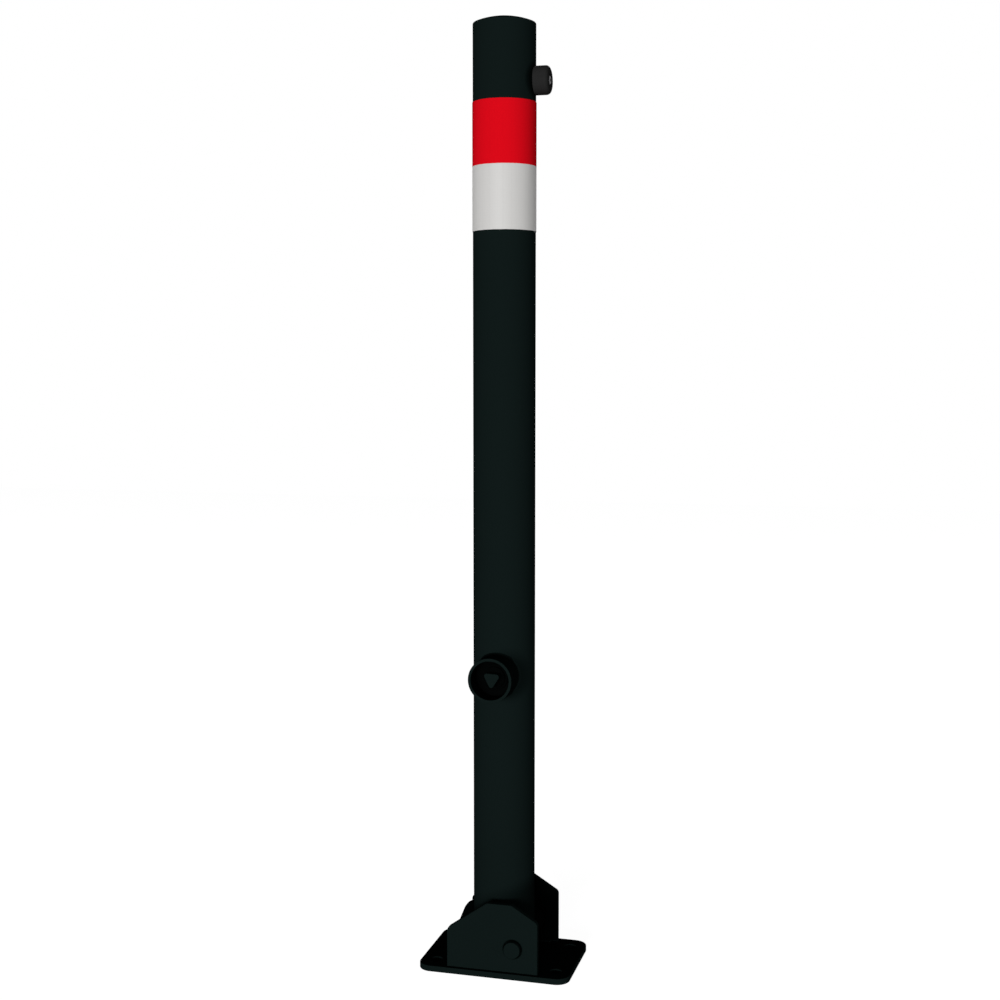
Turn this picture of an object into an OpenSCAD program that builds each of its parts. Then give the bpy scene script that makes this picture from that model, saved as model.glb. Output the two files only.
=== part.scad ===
// Fold-down parking post: a round steel post hinged between two cheeks on a
// bolted base plate, with a key-worked locking rod inside the tube.
// Millimetres. Origin at the centre of the plate's underside, on the axis of
// the upright post. +Z is up, +X is the way the post folds, -Y is the key side.

/* [Base plate] */
// Length of the plate, along the fold
plate_l = 150; // [146:1:180]
// Width of the plate, across the cheeks
plate_w = 101; // [96:1:120]
// Thickness of the plate
plate_t = 6; // [5:0.5:8]
// Corner radius of the plate, seen from above
plate_r = 13; // [4:1:14]
// Diameter of the four anchor holes
anchor_d = 12; // [8:1:14]
// Distance between anchor holes along the plate
anchor_dx = 120; // [112:1:124]
// Distance between anchor holes across the plate
anchor_dy = 65; // [56:1:72]

/* [Cheeks] */
// Length of a cheek at its foot
cheek_l = 90; // [86:1:96]
// Thickness of a cheek
cheek_t = 6; // [5:0.5:8]
// Clear width between the cheeks
cheek_gap = 82; // [81:0.5:84]
// Height of the flat top of a cheek above the ground
cheek_h = 72.2; // [70:0.1:80]
// Height of the corner on the side away from the fold
cheek_back_h = 44.2; // [40:0.1:50]
// Height of the corner on the fold side
cheek_front_h = 56.5; // [52:0.5:62]
// How much taller the rear cheek is than the front one
rear_rise = 1.1; // [0:0.1:2]
// Radius of a cheek's corners
cheek_r = 5; // [2:0.5:6]

/* [Stop] */
// Thickness of the stop rib
stop_t = 8; // [6:1:12]
// Height of the rib's top
stop_h = 55.5; // [54:0.5:58]
// Radius of the rib's top corner
stop_r = 9; // [5:0.5:9]

/* [Hinge] */
// Diameter of the hinge pin
pin_d = 16; // [14:0.5:16]
// Distance of the pin from the post's axis
pin_x = 20.6; // [20:0.1:21.5]
// Height of the pin above the ground
pin_z = 29.3; // [29:0.1:30]
// How far the pin's plain end stands out of the front cheek
pin_proud = 4; // [2:0.5:6]
// Outer diameter of the cross sleeve in the post
sleeve_d = 22; // [21:0.5:22]

/* [Post] */
// Outer diameter of the tube
post_d = 60; // [60:0.1:60.5]
// Wall thickness of the tube
post_wall = 2.5; // [2:0.5:3]
// Height of the post's top above the ground
post_h = 913.2; // [880:0.1:1000]
// Height of the tube's lower end
post_foot = 10.5; // [10.5:0.5:11]
// Thickness of the top disc at its edge
cap_t = 3; // [2:0.5:4]
// Rise of the top disc's dome
cap_dome = 6; // [3:0.5:8]

/* [Bands] */
// Height of the white band's lower edge
white_z = 713.8; // [650:0.1:720]
// Width of the white band
white_w = 60.8; // [40:0.1:60.8]
// Width of the red band above it
red_w = 59.6; // [40:0.1:60]
// Thickness of the reflective film
film_t = 0.45; // [0.3:0.05:0.8]

/* [Buffer] */
// Height of the rubber buffer's axis
buffer_z = 853.5; // [850:0.5:860]
// Diameter of the buffer
buffer_d = 27; // [24:0.5:30]
// Length of the buffer outside the tube
buffer_l = 14.6; // [14.6:0.1:20]

/* [Lock] */
// Height of the key stud's axis
lock_z = 291; // [280:0.5:320]
// Outer diameter of the cup round the stud
cup_d = 42.6; // [41:0.1:44]
// Wall thickness of the cup
cup_wall = 2.7; // [2:0.1:4]
// Distance from the post's axis to the cup's rim
cup_y = 54.5; // [54:0.5:60]
// How far the stud's end lies behind the rim
stud_back = 6.5; // [5:0.5:8]
// Radius from the stud's axis to its sharp corners
stud_r = 10.6; // [8:0.1:11]
// Radius from the key's axis to the crank pin
crank_r = 6; // [5.8:0.1:6]
// Diameter of the locking rod
rod_d = 14; // [12:0.5:14]
// Distance of the locking rod from the post's axis
rod_x = -12; // [-12:0.5:-11]

/* [Hidden] */
$fn = 96;

// Finishes
black_paint = "#141d1c";
bright_steel = "#b9bcbd";
dark_steel = "#5a5d60";
rubber_black = "#262626";
film_red = "#d40618";
film_white = "#e4e3e1";

// General clearances
eps = 0.01;
run = 0.08;
through = 1;
arc_steps = 8;

// Post and hinge
post_r = post_d / 2;
bore_r = post_r - post_wall;
tube_top = post_h - cap_dome - cap_t;
pin_r = pin_d / 2;
pin_chamfer = 0.5;
pin_head_r = 11;
pin_head_t = 3;
sleeve_r = sleeve_d / 2;
cheek_in = cheek_gap / 2;
cheek_out = cheek_in + cheek_t;
washer_t = 1.9;
washer_r = 14;
washer_gap = 0.1;
sleeve_end = cheek_in - washer_t - 3 * washer_gap;
cap_edge = 1;
dome_r = (post_r * post_r + cap_dome * cap_dome) / (2 * cap_dome);
dome_steps = 16;

// The stop rib: its slanted back, its rest face against the upright tube and
// the circle that the tube's lower corner sweeps about the pin
cheek_top_back = -5;
cheek_top_front = 19.3;
cheek_back_r = cheek_r + 1;
stop_foot_x = -57.7;
stop_top_x = -37.4;
stop_gap = 0.2;
sweep_gap = 0.6;
sweep_r = norm([pin_x + post_r, pin_z - post_foot]) + sweep_gap;

// Guides and rod
lower_guide_z = 46;
lower_guide_t = 10;
upper_guide_z = 205;
upper_guide_t = 8;
rod_r = rod_d / 2;
rod_tip = 9.5;
rod_top = 278;
rod_hole_r = rod_r + 0.5;
rod_chamfer = 1;
fork_z = 254;
fork_gap = 0.05;
yoke_t = 8;
yoke_tail_w = 10;
yoke_tail_z = 256;
yoke_shoulder_z = 281;
yoke_top_z = 304;
yoke_back_x = rod_x - 8;
yoke_front_x = rod_x + 15;
yoke_r = 2;
yoke_pin_z = 266;
yoke_pin_r = 2;
yoke_pin_l = 13.2;
collar_z = 154;
collar_t = 6;
collar_r = 12;
collar_pin_r = 1.5;

// Spring: mean radius, wire radius, turns, and the steps that draw it
spring_r = 10;
wire_r = 1;
spring_turns = 7;
turn_steps = 20;
wire_sides = 8;
spring_foot = collar_z + collar_t;
spring_rise = upper_guide_z - spring_foot - 2 * wire_r;

// Lock: distances forward of the post's axis, all measured along -Y
cup_r = cup_d / 2;
cup_bore_r = cup_r - cup_wall;
cup_floor = 34;
cup_edge = 0.4;
bush_r = 10;
bush_flange_r = 13;
bush_flange_t = 2.5;
bush_in = 18.4;
nut_out = 22.4;
nut_t = 4;
nut_across = 27;
journal_r = 6;
stud_end = cup_y - stud_back;
stud_shoulder = cup_floor + bush_flange_t + 0.1;
shoulder_t = 1.9;
shoulder_r = 10.5;
stud_round = 2.5;
stud_point_down = -93;
ring_front = bush_in - 0.1;
ring_t = 1;
ring_groove_r = 5;
ring_r = 9;
crank_front = 16.3;
crank_t = 5;
crank_back = crank_front - crank_t;
crank_disc_r = 9.5;
square_w = 6;
crank_angle = 135;
crank_pin_r = 2.5;
crank_tail_r = 2;
crank_pin_end = 4.6;
crank_x = crank_r * cos(crank_angle);
crank_z = lock_z + crank_r * sin(crank_angle);
slot_gap = 0.3;
slot_run = 0.7;
crank_screw_r = 1.5;
crank_head_r = 2.6;
crank_head_t = 2;
crank_screw_l = 10;

// Buffer and its fixing, along +X from the post's axis
buffer_r = buffer_d / 2;
buffer_back_edge = 0.8;
buffer_edge = 4;
buffer_face = post_r + buffer_l;
seat_x = 40;
seat_r = 5.1;
seat_washer_r = 4.9;
seat_washer_t = 1;
screw_r = 2.5;
screw_in = 18;
head_r = 4.2;
head_end = buffer_face - 0.1;
head_edge = 0.8;
socket_r = 2;
socket_depth = 2;
nut_hole_r = 3.5;
nut_flange_r = 5.5;
nut_flange_t = 0.9;
nut_inner = 22;
nut_bulge_r = 5;
nut_bulge = [24, 27];

// Outlines with round corners, from the sharp corners and a radius for each
function unit(v) = v / norm(v);
function corner(p, a, b, r) =
    let (u = unit(a - p), v = unit(b - p), half = acos(u * v) / 2)
    let (centre = p + unit(u + v) * r / sin(half))
    let (first = p + u * r / tan(half) - centre, last = p + v * r / tan(half) - centre)
    let (start = atan2(first[1], first[0]), finish = atan2(last[1], last[0]))
    let (turn = (finish - start + 540) % 360 - 180)
    [for (i = [0:arc_steps]) centre + r * [cos(start + turn * i / arc_steps), sin(start + turn * i / arc_steps)]];
function rounded(points, radii) =
    let (n = len(points))
    [for (i = [0:n - 1]) each (radii[i] == 0 ? [points[i]]
        : corner(points[i], points[(i + n - 1) % n], points[(i + 1) % n], radii[i]))];
function box_corners(x0, y0, x1, y1) = [[x0, y0], [x1, y0], [x1, y1], [x0, y1]];

// A solid whose outline lies in the XZ plane, from y0 back to y1
module upright_plate(y0, y1) {
    translate([0, y1, 0]) rotate([90, 0, 0]) linear_extrude(y1 - y0) children();
}

// A cylinder along Y between two distances forward of the post's axis
module rod_y(x, z, r, front, back) {
    translate([x, -back, z]) rotate([90, 0, 0]) cylinder(r = r, h = front - back);
}

// A cylinder along X
module rod_x_axis(z, r, x0, x1) {
    translate([x0, 0, z]) rotate([0, 90, 0]) cylinder(r = r, h = x1 - x0);
}

module ring(r_out, r_in, h) {
    difference() {
        cylinder(r = r_out, h = h);
        translate([0, 0, -through]) cylinder(r = r_in, h = h + 2 * through);
    }
}

// Base

module base_plate() {
    color(black_paint) difference() {
        linear_extrude(plate_t) polygon(rounded(
            box_corners(-plate_l / 2, -plate_w / 2, plate_l / 2, plate_w / 2),
            [plate_r, plate_r, plate_r, plate_r]));
        for (x = [-1, 1], y = [-1, 1])
            translate([x * anchor_dx / 2, y * anchor_dy / 2, -through])
                cylinder(d = anchor_d, h = plate_t + 2 * through);
        translate([rod_x, 0, -through]) cylinder(r = rod_hole_r, h = plate_t + 2 * through);
    }
}

module cheek_outline(rise) {
    polygon(rounded([
        [-cheek_l / 2, plate_t], [-cheek_l / 2, cheek_back_h + rise], [cheek_top_back, cheek_h + rise],
        [cheek_top_front, cheek_h + rise], [cheek_l / 2, cheek_front_h + rise], [cheek_l / 2, plate_t]],
        [0, cheek_back_r, cheek_r, cheek_r, cheek_r, 0]));
}

module cheek(y0, rise) {
    color(black_paint) difference() {
        upright_plate(y0, y0 + cheek_t) cheek_outline(rise);
        rod_y(pin_x, pin_z, pin_r, cheek_out + through, -cheek_out - through);
    }
}

module front_cheek() {
    cheek(-cheek_out, 0);
}

module rear_cheek() {
    cheek(cheek_in, rear_rise);
}

module stop_rib() {
    color(black_paint) difference() {
        upright_plate(-stop_t / 2, stop_t / 2) polygon(rounded([
            [stop_foot_x, plate_t], [stop_top_x, stop_h],
            [-post_r - stop_gap, stop_h], [-post_r - stop_gap, plate_t]],
            [0, stop_r, 0, 0]));
        rod_y(pin_x, pin_z, sweep_r, stop_t, -stop_t);
    }
}

module hinge_pin() {
    front = cheek_out + pin_proud;
    color(black_paint) translate([pin_x, cheek_out, pin_z]) rotate([90, 0, 0]) rotate_extrude() polygon([
        [0, -pin_head_t], [pin_head_r - pin_chamfer, -pin_head_t], [pin_head_r, pin_chamfer - pin_head_t],
        [pin_head_r, 0], [pin_r, 0], [pin_r, front + cheek_out - pin_chamfer],
        [pin_r - pin_chamfer, front + cheek_out], [0, front + cheek_out]]);
}

module hinge_washers() {
    color(dark_steel) for (y = [-cheek_in + washer_gap + washer_t, cheek_in - washer_gap])
        translate([pin_x, y, pin_z]) rotate([90, 0, 0]) ring(washer_r, pin_r + run, washer_t);
}

// Post

module post_tube() {
    color(black_paint) difference() {
        translate([0, 0, post_foot]) ring(post_r, bore_r, tube_top - post_foot);
        rod_y(pin_x, pin_z, sleeve_r, post_r + through, -post_r - through);
        rod_y(0, lock_z, bush_r, post_r + through, 0);
        rod_x_axis(buffer_z, nut_hole_r, 0, post_r + through);
    }
}

module top_cap() {
    dome = [for (i = [1:dome_steps])
        let (a = asin(post_r / dome_r) * (1 - i / dome_steps))
        [dome_r * sin(a), cap_t + cap_dome - dome_r * (1 - cos(a))]];
    color(black_paint) translate([0, 0, tube_top]) rotate_extrude() polygon(rounded(
        concat([[0, 0], [post_r, 0], [post_r, cap_t]], dome),
        concat([0, 0, cap_edge], [for (point = dome) 0])));
}

module hinge_sleeve() {
    color(dark_steel) difference() {
        rod_y(pin_x, pin_z, sleeve_r, sleeve_end, -sleeve_end);
        rod_y(pin_x, pin_z, pin_r + run, sleeve_end + through, -sleeve_end - through);
    }
}

module guide(z, t) {
    color(dark_steel) translate([0, 0, z]) difference() {
        cylinder(r = bore_r, h = t);
        translate([rod_x, 0, -through]) cylinder(r = rod_r + run, h = t + 2 * through);
    }
}

module lower_guide() {
    guide(lower_guide_z, lower_guide_t);
}

module upper_guide() {
    guide(upper_guide_z, upper_guide_t);
}

module lock_cup() {
    color(black_paint) difference() {
        translate([0, 0, lock_z]) rotate([90, 0, 0]) rotate_extrude() polygon(rounded([
            [0, 0], [cup_r, 0], [cup_r, cup_y], [cup_bore_r, cup_y], [cup_bore_r, cup_floor], [0, cup_floor]],
            [0, 0, cup_edge, cup_edge, 0, 0]));
        translate([0, 0, lock_z - cup_d]) cylinder(r = post_r, h = 2 * cup_d);
        rod_y(0, lock_z, bush_r, cup_y, 0);
    }
}

module spindle_bush() {
    color(dark_steel) difference() {
        union() {
            rod_y(0, lock_z, bush_flange_r, cup_floor + bush_flange_t, cup_floor);
            rod_y(0, lock_z, bush_r, cup_floor + eps, bush_in);
        }
        rod_y(0, lock_z, journal_r + run, cup_y, 0);
    }
}

module bush_nut() {
    color(bright_steel) translate([0, -nut_out + nut_t, lock_z]) rotate([90, 0, 0]) difference() {
        cylinder(d = nut_across / cos(30), h = nut_t, $fn = 6);
        translate([0, 0, -through]) cylinder(r = bush_r, h = nut_t + 2 * through);
    }
}

// Buffer

module buffer() {
    color(rubber_black) difference() {
        translate([0, 0, buffer_z]) rotate([0, 90, 0]) rotate_extrude() polygon(rounded(
            [[0, post_r], [buffer_r, post_r], [buffer_r, buffer_face], [0, buffer_face]],
            [0, buffer_back_edge, buffer_edge, 0]));
        rod_x_axis(buffer_z, nut_flange_r, 0, post_r + nut_flange_t);
        rod_x_axis(buffer_z, screw_r, 0, buffer_face);
        rod_x_axis(buffer_z, seat_r, seat_x, buffer_face + through);
    }
}

module buffer_screw() {
    color(dark_steel) difference() {
        union() {
            translate([seat_x + seat_washer_t, 0, buffer_z]) rotate([0, 90, 0]) rotate_extrude() polygon(rounded([
                [0, 0], [head_r, 0], [head_r, head_end - seat_x - seat_washer_t],
                [0, head_end - seat_x - seat_washer_t]],
                [0, 0, head_edge, 0]));
            rod_x_axis(buffer_z, screw_r, screw_in, seat_x + seat_washer_t + eps);
        }
        translate([head_end - socket_depth, 0, buffer_z]) rotate([0, 90, 0])
            cylinder(r = socket_r, h = socket_depth + through, $fn = 6);
    }
}

module buffer_washer() {
    color(bright_steel) translate([seat_x, 0, buffer_z]) rotate([0, 90, 0])
        ring(seat_washer_r, screw_r, seat_washer_t);
}

module buffer_nut() {
    color(bright_steel) difference() {
        union() {
            rod_x_axis(buffer_z, nut_hole_r, nut_inner, post_r + eps);
            rod_x_axis(buffer_z, nut_bulge_r, nut_bulge[0], nut_bulge[1]);
            rod_x_axis(buffer_z, nut_flange_r, post_r, post_r + nut_flange_t);
        }
        rod_x_axis(buffer_z, screw_r, 0, buffer_face);
    }
}

// Reflective bands

module white_band() {
    color(film_white) translate([0, 0, white_z]) ring(post_r + film_t, post_r, white_w);
}

module red_band() {
    color(film_red) translate([0, 0, white_z + white_w]) ring(post_r + film_t, post_r, red_w);
}

// Key spindle and crank, drawn unlocked with the crank pin up

module lock_spindle() {
    color(dark_steel) difference() {
        union() {
            translate([0, -stud_shoulder - shoulder_t + eps, lock_z]) rotate([90, 0, 0])
                linear_extrude(stud_end - stud_shoulder - shoulder_t + eps) polygon(rounded(
                    [for (i = [0:2]) stud_r * [cos(stud_point_down + 120 * i), sin(stud_point_down + 120 * i)]],
                    [stud_round, stud_round, stud_round]));
            rod_y(0, lock_z, shoulder_r, stud_shoulder + shoulder_t, stud_shoulder);
            rod_y(0, lock_z, journal_r, stud_shoulder + eps, ring_front);
            rod_y(0, lock_z, ring_groove_r, ring_front + eps, ring_front - ring_t - eps);
            rod_y(0, lock_z, journal_r, ring_front - ring_t, crank_front);
            translate([0, -(crank_front + eps + crank_back) / 2, lock_z]) rotate([0, 45, 0])
                cube([square_w, crank_t + eps, square_w], center = true);
        }
        rod_y(0, lock_z, crank_screw_r, crank_back + crank_screw_l, crank_back - through);
    }
}

module spindle_ring() {
    color(bright_steel) translate([0, -ring_front + ring_t, lock_z]) rotate([90, 0, 0])
        ring(ring_r, ring_groove_r, ring_t);
}

module crank_disc() {
    color(dark_steel) difference() {
        rod_y(0, lock_z, crank_disc_r, crank_front, crank_back);
        translate([0, -(crank_front + crank_back) / 2, lock_z]) rotate([0, 45, 0])
            cube([square_w, crank_t + 2 * through, square_w], center = true);
        rod_y(crank_x, crank_z, crank_tail_r, crank_front + through, crank_back - through);
    }
}

module crank_pin() {
    color(bright_steel) union() {
        rod_y(crank_x, crank_z, crank_tail_r, crank_front, crank_back - eps);
        rod_y(crank_x, crank_z, crank_pin_r, crank_back, -crank_pin_end);
    }
}

module crank_screw() {
    color(bright_steel) union() {
        rod_y(0, lock_z, crank_screw_r, crank_back + crank_screw_l, crank_back - eps);
        rod_y(0, lock_z, crank_head_r, crank_back, crank_back - crank_head_t);
    }
}

// Locking rod, drawn lifted

module locking_rod() {
    color(bright_steel) difference() {
        translate([rod_x, 0, rod_tip]) rotate_extrude() polygon([
            [0, 0], [rod_r - rod_chamfer, 0], [rod_r, rod_chamfer],
            [rod_r, rod_top - rod_tip], [0, rod_top - rod_tip]]);
        translate([rod_x - rod_d, -yoke_t / 2 - fork_gap, fork_z])
            cube([2 * rod_d, yoke_t + 2 * fork_gap, rod_top]);
        rod_y(rod_x, yoke_pin_z, yoke_pin_r, rod_d, -rod_d);
        rod_y(rod_x, collar_z + collar_t / 2, collar_pin_r, rod_d, -rod_d);
    }
}

module yoke() {
    tail = yoke_tail_w / 2;
    slot_r = crank_pin_r + slot_gap;
    color(dark_steel) difference() {
        upright_plate(-yoke_t / 2, yoke_t / 2) polygon(rounded([
            [rod_x - tail, yoke_tail_z], [rod_x + tail, yoke_tail_z], [rod_x + tail, yoke_shoulder_z],
            [yoke_front_x, yoke_shoulder_z], [yoke_front_x, yoke_top_z],
            [yoke_back_x, yoke_top_z], [yoke_back_x, yoke_shoulder_z], [rod_x - tail, yoke_shoulder_z]],
            [0, 0, 0, yoke_r, yoke_r, yoke_r, yoke_r, 0]));
        upright_plate(-yoke_t, yoke_t) polygon(rounded(
            box_corners(-crank_r - crank_pin_r - slot_run, crank_z - slot_r,
                crank_x + crank_pin_r + slot_run, crank_z + slot_r),
            [crank_pin_r, crank_pin_r, crank_pin_r, crank_pin_r]));
        rod_y(rod_x, yoke_pin_z, yoke_pin_r, yoke_t, -yoke_t);
    }
}

module yoke_pin() {
    color(bright_steel) rod_y(rod_x, yoke_pin_z, yoke_pin_r, yoke_pin_l / 2, -yoke_pin_l / 2);
}

module rod_collar() {
    color(dark_steel) difference() {
        translate([rod_x, 0, collar_z]) ring(collar_r, rod_r, collar_t);
        rod_y(rod_x, collar_z + collar_t / 2, collar_pin_r, 2 * collar_r, -2 * collar_r);
    }
}

module collar_pin() {
    color(bright_steel)
        rod_y(rod_x, collar_z + collar_t / 2, collar_pin_r, collar_r - wire_r, wire_r - collar_r);
}

// The spring's wire follows a helix: rings of points, joined side by side
module locking_spring() {
    rings = spring_turns * turn_steps;
    pitch_angle = atan2(spring_rise / spring_turns, 2 * PI * spring_r);
    function wire_point(i, j) =
        let (a = 360 * i / turn_steps, w = 360 * j / wire_sides)
        let (out = [cos(a), sin(a), 0], over = [sin(a) * sin(pitch_angle), -cos(a) * sin(pitch_angle), cos(pitch_angle)])
        [0, 0, spring_rise * i / rings] + spring_r * out + wire_r * (cos(w) * out + sin(w) * over);
    color(bright_steel) translate([rod_x, 0, spring_foot + wire_r]) polyhedron(
        points = [for (i = [0:rings], j = [0:wire_sides - 1]) wire_point(i, j)],
        faces = concat(
            [[for (j = [0:wire_sides - 1]) j]],
            [for (i = [0:rings - 1], j = [0:wire_sides - 1])
                let (k = (j + 1) % wire_sides)
                [i * wire_sides + j, (i + 1) * wire_sides + j, (i + 1) * wire_sides + k, i * wire_sides + k]],
            [[for (j = [wire_sides - 1:-1:0]) rings * wire_sides + j]]));
}

base_plate();
front_cheek();
rear_cheek();
stop_rib();
hinge_pin();
hinge_washers();
post_tube();
top_cap();
hinge_sleeve();
lower_guide();
upper_guide();
lock_cup();
spindle_bush();
bush_nut();
buffer();
buffer_screw();
buffer_washer();
buffer_nut();
red_band();
white_band();
lock_spindle();
spindle_ring();
crank_disc();
crank_pin();
crank_screw();
locking_rod();
yoke();
yoke_pin();
rod_collar();
collar_pin();
locking_spring();
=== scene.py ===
"""The looks of a fold-down parking post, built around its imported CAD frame.

Each sub-assembly is a class that holds its sizes in millimetres and builds its
own pieces in the frame's coordinates: +Z up the post, +X the way it folds, -Y
the side that the key cup is on.
"""

from __future__ import annotations

import logging
import math
from collections.abc import Callable, Sequence
from dataclasses import dataclass
from enum import Enum

import bmesh
import bpy
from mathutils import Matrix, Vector

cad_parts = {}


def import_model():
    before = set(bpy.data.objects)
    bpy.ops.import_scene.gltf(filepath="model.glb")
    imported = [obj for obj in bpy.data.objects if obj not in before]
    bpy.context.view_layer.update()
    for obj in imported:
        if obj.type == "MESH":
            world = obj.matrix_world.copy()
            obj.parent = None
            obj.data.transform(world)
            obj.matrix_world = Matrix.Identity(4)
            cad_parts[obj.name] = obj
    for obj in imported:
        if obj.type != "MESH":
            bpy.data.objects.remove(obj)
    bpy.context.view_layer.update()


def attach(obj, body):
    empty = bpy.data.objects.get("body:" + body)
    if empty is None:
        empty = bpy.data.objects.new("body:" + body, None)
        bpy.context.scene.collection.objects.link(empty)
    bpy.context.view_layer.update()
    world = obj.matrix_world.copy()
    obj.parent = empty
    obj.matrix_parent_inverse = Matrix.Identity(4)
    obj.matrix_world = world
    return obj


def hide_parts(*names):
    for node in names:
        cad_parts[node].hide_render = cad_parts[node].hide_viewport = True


MM = 0.001
TINY = 1e-6
SHARP_ANGLE = math.radians(40)
EDGE_STEPS = 3
ARC_STEPS = 10
HOLE_STEPS = 48
TURN_STEPS = 64
FINE_STEPS = 96

# Places that several pieces share, in millimetres
PLATE_T = 6.0
CHEEK_IN, CHEEK_OUT = 41.0, 47.0
PIN_X, PIN_Z, PIN_R = 20.6, 29.3, 8.0
POST_R = 30.0
LOCK_Z = 291.0
BUFFER_Z = 853.5

log = logging.getLogger("post")

Point = tuple[float, float]
Corner = tuple[float, float, float]
Colour = tuple[float, float, float]
Depth = float | Callable[[float, float], float]


class Body(Enum):
    """The moving groups of the frame."""

    BASE = "base"
    POST = "post"
    KEY = "key_spindle"
    ROD = "rod"


class Along(Enum):
    """The way that a form's own length points."""

    UP = "up"
    KEY_SIDE = "key side"
    FOLD_SIDE = "fold side"

    def at(self, u: float, v: float, t: float) -> Vector:
        """A point of the frame, from two sideways places and a distance along."""
        if self is Along.UP:
            return Vector((u, v, t))
        if self is Along.KEY_SIDE:
            return Vector((u, -t, v))
        return Vector((t, u, v))


# Outlines


def rounded(corners: Sequence[Corner], steps: int = ARC_STEPS) -> list[Point]:
    """Rounds the corners of an outline.

    Args:
        corners: place and radius of each sharp corner.
        steps: straight pieces in each arc.

    Returns:
        The outline's points, in the order of its corners.
    """
    points: list[Point] = []
    for i, (u, v, radius) in enumerate(corners):
        if radius <= 0:
            points.append((u, v))
            continue
        here = Vector((u, v))
        back = (Vector(corners[i - 1][:2]) - here).normalized()
        on = (Vector(corners[(i + 1) % len(corners)][:2]) - here).normalized()
        half = back.angle(on) / 2
        centre = here + (back + on).normalized() * (radius / math.sin(half))
        first = here + back * (radius / math.tan(half)) - centre
        last = here + on * (radius / math.tan(half)) - centre
        start = math.atan2(first.y, first.x)
        turn = (math.atan2(last.y, last.x) - start + math.pi) % math.tau - math.pi
        for k in range(steps + 1):
            angle = start + turn * k / steps
            points.append((centre.x + radius * math.cos(angle), centre.y + radius * math.sin(angle)))
    return points


def circle(u: float, v: float, radius: float, steps: int = HOLE_STEPS) -> list[Point]:
    """The points of a circle."""
    angles = [math.tau * i / steps for i in range(steps)]
    return [(u + radius * math.cos(a), v + radius * math.sin(a)) for a in angles]


def arc(u: float, v: float, radius: float, start: float, end: float, steps: int) -> list[Point]:
    """The points of an arc between two angles in degrees."""
    angles = [math.radians(start + (end - start) * i / steps) for i in range(steps + 1)]
    return [(u + radius * math.cos(a), v + radius * math.sin(a)) for a in angles]


def wound(points: Sequence[Point], left: bool) -> list[Point]:
    """The same outline, running anticlockwise if left, else clockwise."""
    turned = [*points[1:], points[0]]
    area = sum(a[0] * b[1] - b[0] * a[1] for a, b in zip(points, turned))
    return list(points) if (area > 0) == left else list(reversed(points))


def shifted(points: Sequence[Point], distance: float) -> list[Point]:
    """Moves an outline to the left of the way it runs.

    Args:
        points: the outline, without two equal points in a row.
        distance: how far each side moves.

    Returns:
        The moved outline, point for point.
    """
    moved: list[Point] = []
    for i, (u, v) in enumerate(points):
        last, after = points[i - 1], points[(i + 1) % len(points)]
        a = Vector((u - last[0], v - last[1])).normalized()
        b = Vector((after[0] - u, after[1] - v)).normalized()
        side = Vector((-a.y - b.y, a.x + b.x)) * (distance / (1 + a.dot(b)))
        moved.append((u + side.x, v + side.y))
    return moved


def saddle(radius: float) -> Callable[[float, float], float]:
    """The distance from the post's axis to its round side, at a sideways place."""
    return lambda u, v: math.sqrt(max(radius * radius - u * u, 0.0))


# Finishes

Term = "Value | float | Colour | bpy.types.NodeSocket"


class Value:
    """A number in a node tree, on which Python's operators work."""

    def __init__(self, graph: Graph, socket: bpy.types.NodeSocket) -> None:
        """Keeps the graph and the socket that gives the number."""
        self.graph = graph
        self.socket = socket

    def _math(self, operation: str, a: Term, b: Term) -> Value:
        """The value of one Math node on two terms."""
        node = self.graph.add("ShaderNodeMath", {"operation": operation}, {0: a, 1: b})
        return Value(self.graph, node.outputs[0])

    def __add__(self, other: Term) -> Value:
        """self + other."""
        return self._math("ADD", self, other)

    def __radd__(self, other: Term) -> Value:
        """other + self."""
        return self._math("ADD", other, self)

    def __sub__(self, other: Term) -> Value:
        """self - other."""
        return self._math("SUBTRACT", self, other)

    def __rsub__(self, other: Term) -> Value:
        """other - self."""
        return self._math("SUBTRACT", other, self)

    def __mul__(self, other: Term) -> Value:
        """self * other."""
        return self._math("MULTIPLY", self, other)

    def __rmul__(self, other: Term) -> Value:
        """other * self."""
        return self._math("MULTIPLY", other, self)

    def __or__(self, other: Term) -> Value:
        """The larger of the two."""
        return self._math("MAXIMUM", self, other)

    def __abs__(self) -> Value:
        """self, without its sign."""
        return self._math("ABSOLUTE", self, 0.0)

    def rise(self, low: float, high: float) -> Value:
        """0 up to low and 1 from high on, or the other way about if high is less."""
        links = {"Value": self, "From Min": low, "From Max": high}
        node = self.graph.add("ShaderNodeMapRange", {"interpolation_type": "SMOOTHSTEP"}, links)
        return Value(self.graph, node.outputs[0])


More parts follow.
